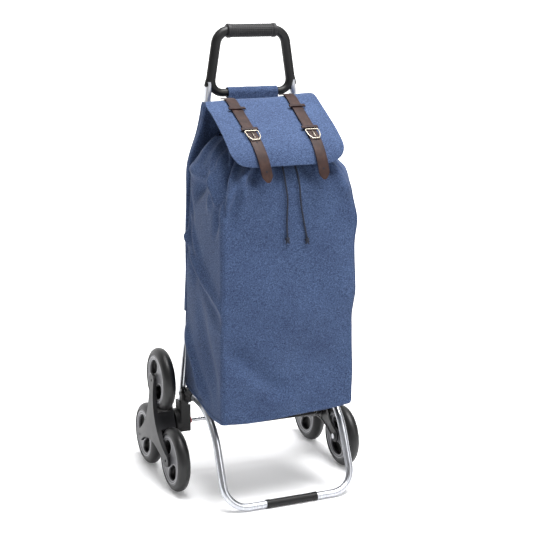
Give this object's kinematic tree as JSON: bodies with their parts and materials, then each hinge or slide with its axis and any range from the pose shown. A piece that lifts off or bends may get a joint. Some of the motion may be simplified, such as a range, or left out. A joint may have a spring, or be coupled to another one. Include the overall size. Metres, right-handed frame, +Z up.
{
  "type": "folding shopping trolley",
  "caption": "Folding two-upright trolley with a flapped fabric bag, a fold-up tubular foot and a turning set of wheels on each end of the axle for climbing steps.",
  "frame": {"origin": "on the floor, at the centre of the trolley's footprint", "axes": "+Z up, -Y towards the bag's front and the foot, +X to the right seen from the front"},
  "size_m": [0.456, 0.4276, 0.9985],
  "materials": {
    "aluminium_tube": "satin anodised",
    "black_plastic": "fine grain",
    "grip_rubber": "dimpled",
    "polished_steel": "bright",
    "black_steel": "satin black",
    "red_plastic": "moulded",
    "grey_plastic": "fine grain",
    "tyre_rubber": "satin",
    "blue_cloth": "heathered plain weave",
    "brown_leather": "smooth, edge painted",
    "nickel": "bright",
    "navy_cord": "braided"
  },
  "bodies": {
    "frame": {"upright_left": "aluminium_tube", "upright_right": "aluminium_tube", "handle_loop": "black_plastic", "handle_grip": "grip_rubber", "bracket_left": "black_plastic", "bracket_right": "black_plastic", "axle": "polished_steel", "axle_clips": "polished_steel", "axle_bushes": "red_plastic", "bracket_screws": "polished_steel", "pivot_pins": "polished_steel", "stop_pins": "polished_steel", "bag_front": "blue_cloth", "bag_side_left": "blue_cloth", "bag_side_right": "blue_cloth", "bag_back": "blue_cloth", "bag_back_top": "blue_cloth", "bag_bottom": "blue_cloth", "bag_yoke": "blue_cloth", "bag_sleeve_left": "blue_cloth", "bag_sleeve_right": "blue_cloth", "bag_hanger": "blue_cloth", "drawstring_left": "navy_cord", "drawstring_right": "navy_cord", "drawstring_knots": "navy_cord", "eyelets": "nickel"},
    "base_leg": {"leg_tube": "aluminium_tube", "leg_socket_left": "black_plastic", "leg_socket_right": "black_plastic", "foot_sleeve": "black_plastic", "bag_rest": "black_steel", "base_board": "black_plastic"},
    "flap_lid": {"flap": "blue_cloth", "strap_left": "brown_leather", "strap_right": "brown_leather", "strap_keepers": "brown_leather", "buckle_left": "nickel", "buckle_right": "nickel", "buckle_prongs": "nickel"},
    "star_left": {"star_outer_left": "grey_plastic", "star_inner_left": "grey_plastic", "star_bolts_left": "polished_steel"},
    "wheel_left_top": {"rim_left_top": "grey_plastic", "tyre_left_top": "tyre_rubber"},
    "wheel_left_front": {"rim_left_front": "grey_plastic", "tyre_left_front": "tyre_rubber"},
    "wheel_left_rear": {"rim_left_rear": "grey_plastic", "tyre_left_rear": "tyre_rubber"},
    "star_right": {"star_outer_right": "grey_plastic", "star_inner_right": "grey_plastic", "star_bolts_right": "polished_steel"},
    "wheel_right_top": {"rim_right_top": "grey_plastic", "tyre_right_top": "tyre_rubber"},
    "wheel_right_front": {"rim_right_front": "grey_plastic", "tyre_right_front": "tyre_rubber"},
    "wheel_right_rear": {"rim_right_rear": "grey_plastic", "tyre_right_rear": "tyre_rubber"}
  },
  "joints": [
    {"name": "leg_fold", "type": "hinge", "parent": "frame", "child": "base_leg", "pos_m": [0, 0.03372, 0.196], "axis": [-1, 0, 0], "range_deg": [0, 80], "deforming": ["bag_front", "bag_side_left", "bag_side_right", "bag_back", "bag_bottom"]},
    {"name": "flap_hinge", "type": "hinge", "parent": "frame", "child": "flap_lid", "pos_m": [0, 0.01072, 0.839], "axis": [-1, 0, 0], "range_deg": [0, 80]},
    {"name": "star_left_spin", "type": "hinge", "parent": "frame", "child": "star_left", "pos_m": [-0.20175, 0.05372, 0.122], "axis": [1, 0, 0], "continuous": true},
    {"name": "wheel_left_top_spin", "type": "hinge", "parent": "star_left", "child": "wheel_left_top", "pos_m": [-0.20175, 0.05372, 0.226], "axis": [1, 0, 0], "continuous": true},
    {"name": "wheel_left_front_spin", "type": "hinge", "parent": "star_left", "child": "wheel_left_front", "pos_m": [-0.20175, -0.03635, 0.07], "axis": [1, 0, 0], "continuous": true},
    {"name": "wheel_left_rear_spin", "type": "hinge", "parent": "star_left", "child": "wheel_left_rear", "pos_m": [-0.20175, 0.14378, 0.07], "axis": [1, 0, 0], "continuous": true},
    {"name": "star_right_spin", "type": "hinge", "parent": "frame", "child": "star_right", "pos_m": [0.20175, 0.05372, 0.122], "axis": [1, 0, 0], "continuous": true},
    {"name": "wheel_right_top_spin", "type": "hinge", "parent": "star_right", "child": "wheel_right_top", "pos_m": [0.20175, 0.05372, 0.226], "axis": [1, 0, 0], "continuous": true},
    {"name": "wheel_right_front_spin", "type": "hinge", "parent": "star_right", "child": "wheel_right_front", "pos_m": [0.20175, -0.03635, 0.07], "axis": [1, 0, 0], "continuous": true},
    {"name": "wheel_right_rear_spin", "type": "hinge", "parent": "star_right", "child": "wheel_right_rear", "pos_m": [0.20175, 0.14378, 0.07], "axis": [1, 0, 0], "continuous": true}
  ]
}
